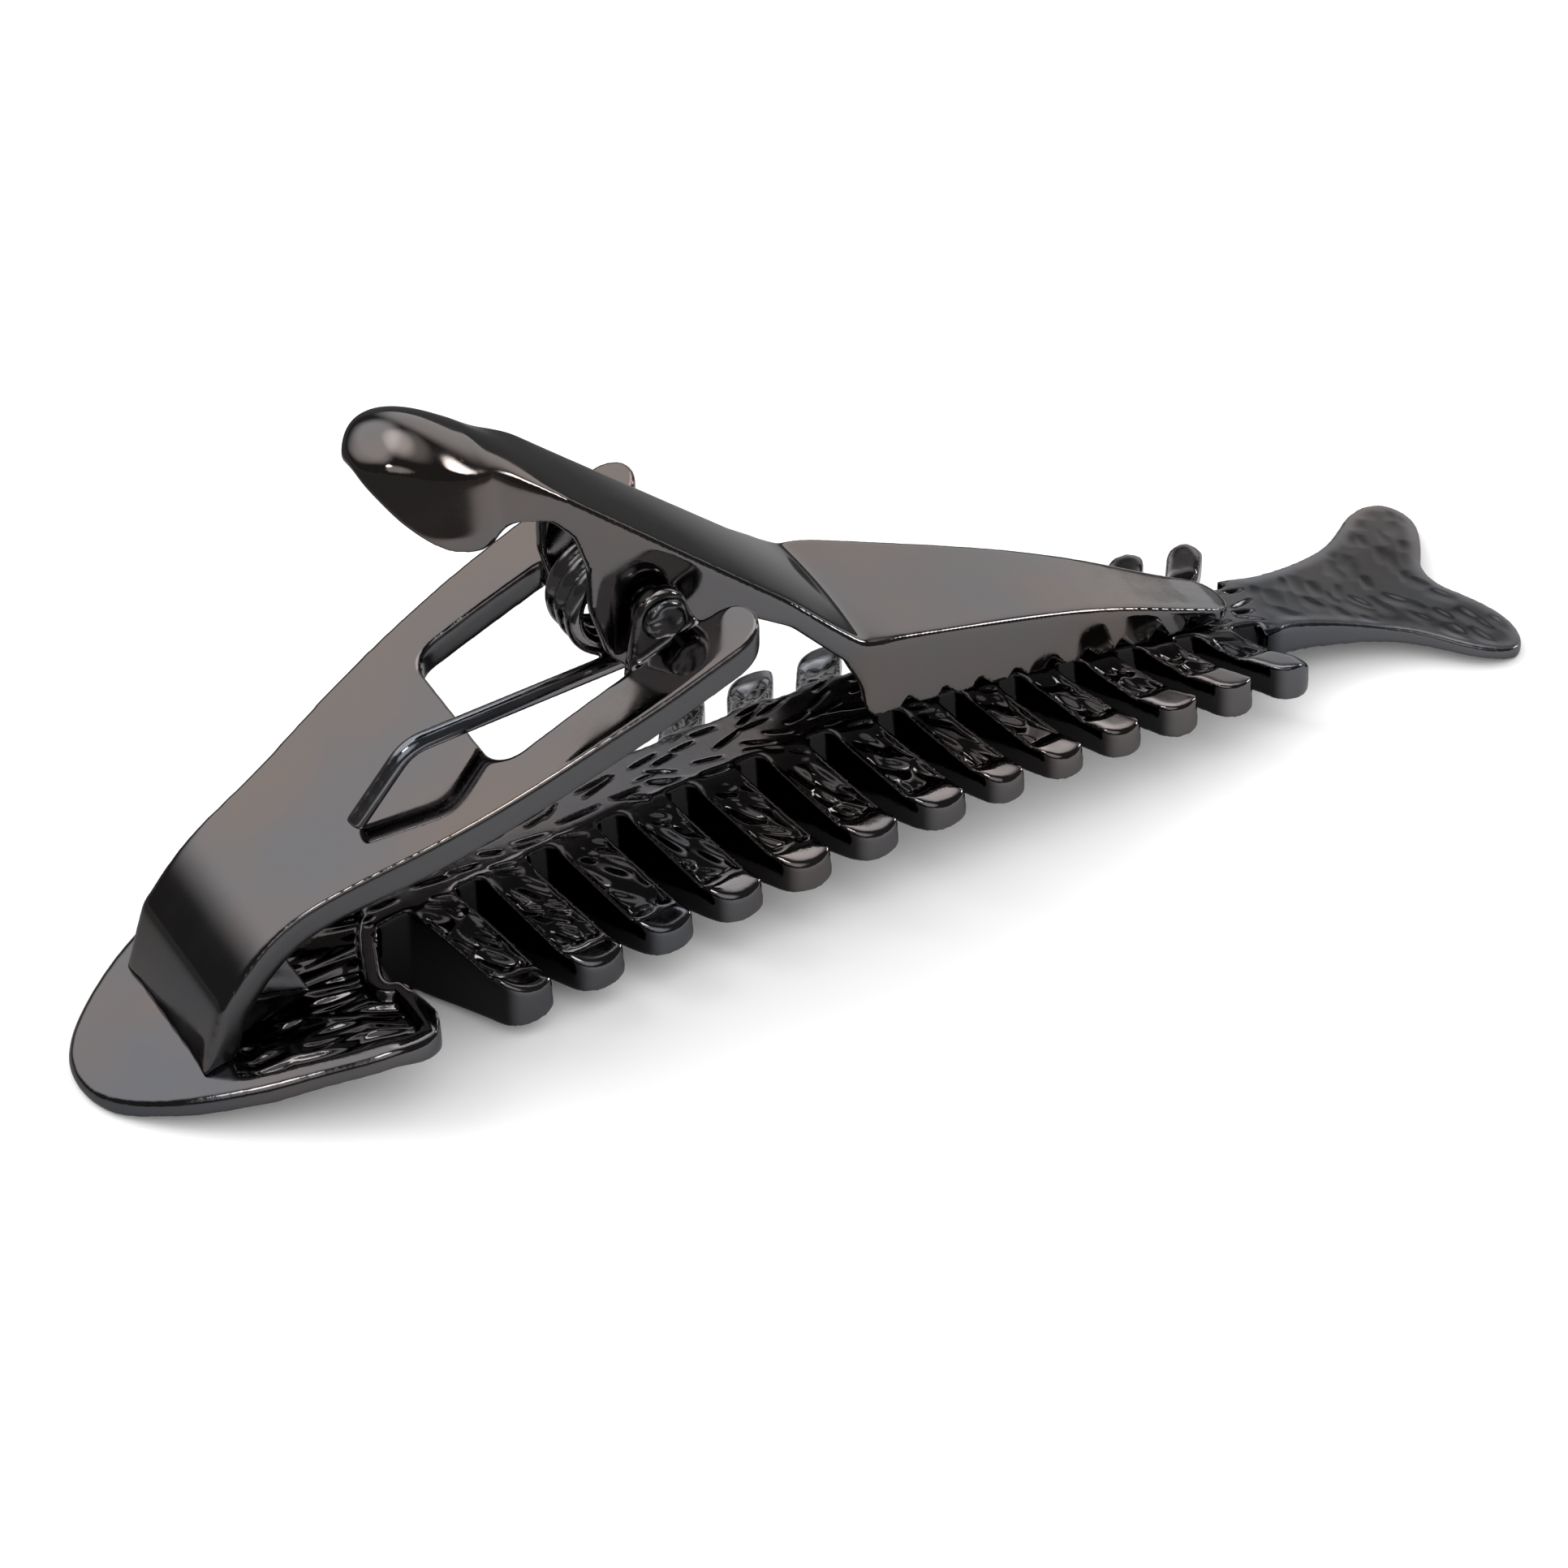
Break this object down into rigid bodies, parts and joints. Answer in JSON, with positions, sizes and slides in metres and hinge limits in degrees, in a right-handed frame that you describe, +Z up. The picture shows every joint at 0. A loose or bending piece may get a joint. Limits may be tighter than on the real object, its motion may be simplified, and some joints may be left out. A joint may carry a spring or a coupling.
{
  "type": "alligator hair clip",
  "caption": "Fish-skeleton alligator hair clip: cast openwork plate, soldered forked spring bracket and a hinged serrated jaw lever with thumb pad.",
  "frame": {"origin": "middle of the clip's length and width, on the rest plane", "axes": "+X from the fish's nose toward its tail, +Y across the clip along the hinge pin, +Z up from the rest plane toward the jaw lever"},
  "size_m": [0.0814, 0.02, 0.0348],
  "materials": {
    "plate_metal": "cast, black nickel plated, bright",
    "strip_metal": "stamped, black nickel plated, bright",
    "solder": "solder fillet under black nickel plating",
    "lever_metal": "pressed sheet, black nickel plated, bright",
    "pin_metal": "rivet, black nickel plated",
    "spring_wire": "drawn wire, black nickel plated"
  },
  "bodies": {
    "plate_and_bracket": {"fish_plate": "plate_metal", "spring_bracket": "strip_metal", "solder_joint": "solder", "hinge_pin": "pin_metal", "torsion_spring": "spring_wire"},
    "lever": {"jaw_lever": "lever_metal"}
  },
  "joints": [
    {"name": "lever_hinge", "type": "hinge", "parent": "plate_and_bracket", "child": "lever", "pos_m": [-0.00969, 0, 0.0214], "axis": [0, -1, 0], "range_deg": [0, 40], "stiffness_Nm_per_rad": 0.05, "springref_deg": -20.05, "deforming": ["torsion_spring"]}
  ]
}
